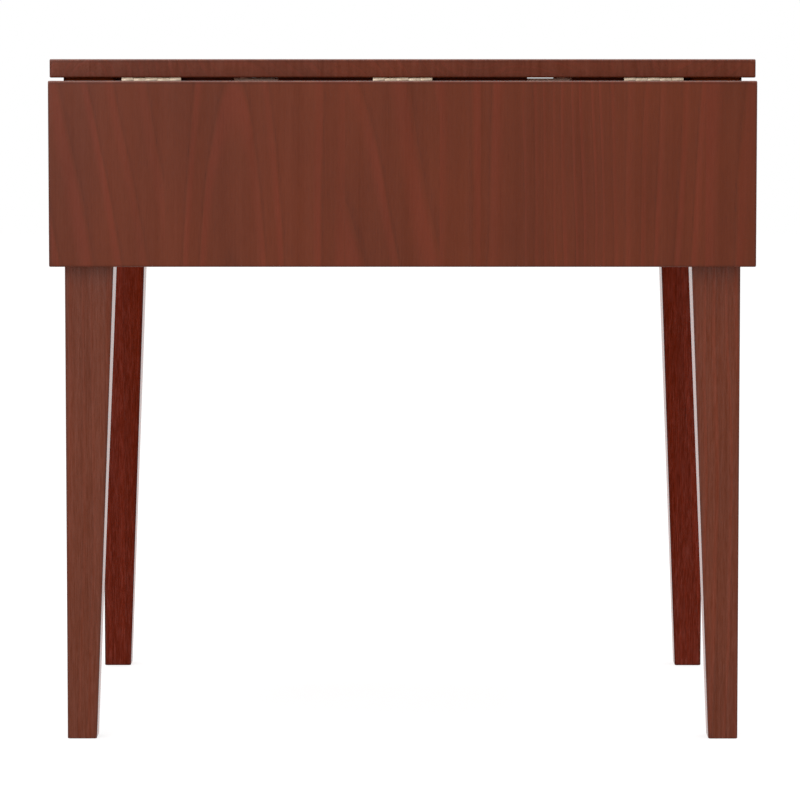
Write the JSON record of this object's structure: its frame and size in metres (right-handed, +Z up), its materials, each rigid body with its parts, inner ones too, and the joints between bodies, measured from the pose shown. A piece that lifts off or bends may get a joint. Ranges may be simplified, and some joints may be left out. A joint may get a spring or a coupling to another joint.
{
  "type": "drop-leaf dining table",
  "caption": "Wooden drop-leaf dining table with tapered square legs, hinged leaves hanging front and back, and pull-out leaf supports.",
  "frame": {"origin": "on the floor under the middle of the table", "axes": "+X to the right along the hinges, +Y to the back, +Z up"},
  "size_m": [0.762, 0.6566, 0.7415],
  "materials": {
    "table_top": "red-brown stain under satin lacquer, fine straight grain along the depth",
    "legs": "red-brown stain under satin lacquer, fine straight grain along the leg",
    "aprons": "red-brown stain under satin lacquer, grain along the apron",
    "inner_wood": "thin brown stain on planed wood, no lacquer",
    "hinges": "pale plated steel with a brushed sheen",
    "fasteners": "zinc-plated steel, dull"
  },
  "bodies": {
    "table_frame": {"top_panel": "table_top", "leg_front_left": "legs", "leg_front_right": "legs", "leg_back_left": "legs", "leg_back_right": "legs", "apron_front": "aprons", "apron_back": "aprons", "apron_left": "aprons", "apron_right": "aprons", "corner_block_front_left": "inner_wood", "corner_block_front_right": "inner_wood", "corner_block_back_left": "inner_wood", "corner_block_back_right": "inner_wood", "hanger_bolts": "fasteners", "bolt_washers": "fasteners", "bolt_nuts": "fasteners", "block_screws": "fasteners", "top_screws": "fasteners", "guide_front_left": "inner_wood", "guide_front_right": "inner_wood", "guide_back_left": "inner_wood", "guide_back_right": "inner_wood", "guide_screws": "fasteners", "top_flap_front_left": "hinges", "top_flap_front_middle": "hinges", "top_flap_front_right": "hinges", "top_flap_back_left": "hinges", "top_flap_back_middle": "hinges", "top_flap_back_right": "hinges", "hinge_pins": "hinges", "top_flap_screws": "hinges"},
    "leaf_front": {"front_leaf": "table_top", "leaf_flap_front_left": "hinges", "leaf_flap_front_middle": "hinges", "leaf_flap_front_right": "hinges", "front_leaf_screws": "hinges"},
    "leaf_back": {"back_leaf": "table_top", "leaf_flap_back_left": "hinges", "leaf_flap_back_middle": "hinges", "leaf_flap_back_right": "hinges", "back_leaf_screws": "hinges"},
    "slide_front_left": {"support_front_left": "inner_wood", "peg_front_left": "inner_wood"},
    "slide_front_right": {"support_front_right": "inner_wood", "peg_front_right": "inner_wood"},
    "slide_back_left": {"support_back_left": "inner_wood", "peg_back_left": "inner_wood"},
    "slide_back_right": {"support_back_right": "inner_wood", "peg_back_right": "inner_wood"}
  },
  "joints": [
    {"name": "front_leaf_hinge", "type": "hinge", "parent": "table_frame", "child": "leaf_front", "pos_m": [0, -0.3055, 0.7187], "axis": [-1, 0, 0], "range_deg": [0, 90]},
    {"name": "back_leaf_hinge", "type": "hinge", "parent": "table_frame", "child": "leaf_back", "pos_m": [0, 0.3055, 0.7187], "axis": [1, 0, 0], "range_deg": [0, 90]},
    {"name": "support_front_left_slide", "type": "slide", "parent": "table_frame", "child": "slide_front_left", "axis": [0, -1, 0], "range_m": [0, 0.0188]},
    {"name": "support_front_right_slide", "type": "slide", "parent": "table_frame", "child": "slide_front_right", "axis": [0, -1, 0], "range_m": [0, 0.0188]},
    {"name": "support_back_left_slide", "type": "slide", "parent": "table_frame", "child": "slide_back_left", "axis": [0, 1, 0], "range_m": [0, 0.0188]},
    {"name": "support_back_right_slide", "type": "slide", "parent": "table_frame", "child": "slide_back_right", "axis": [0, 1, 0], "range_m": [0, 0.0188]}
  ]
}
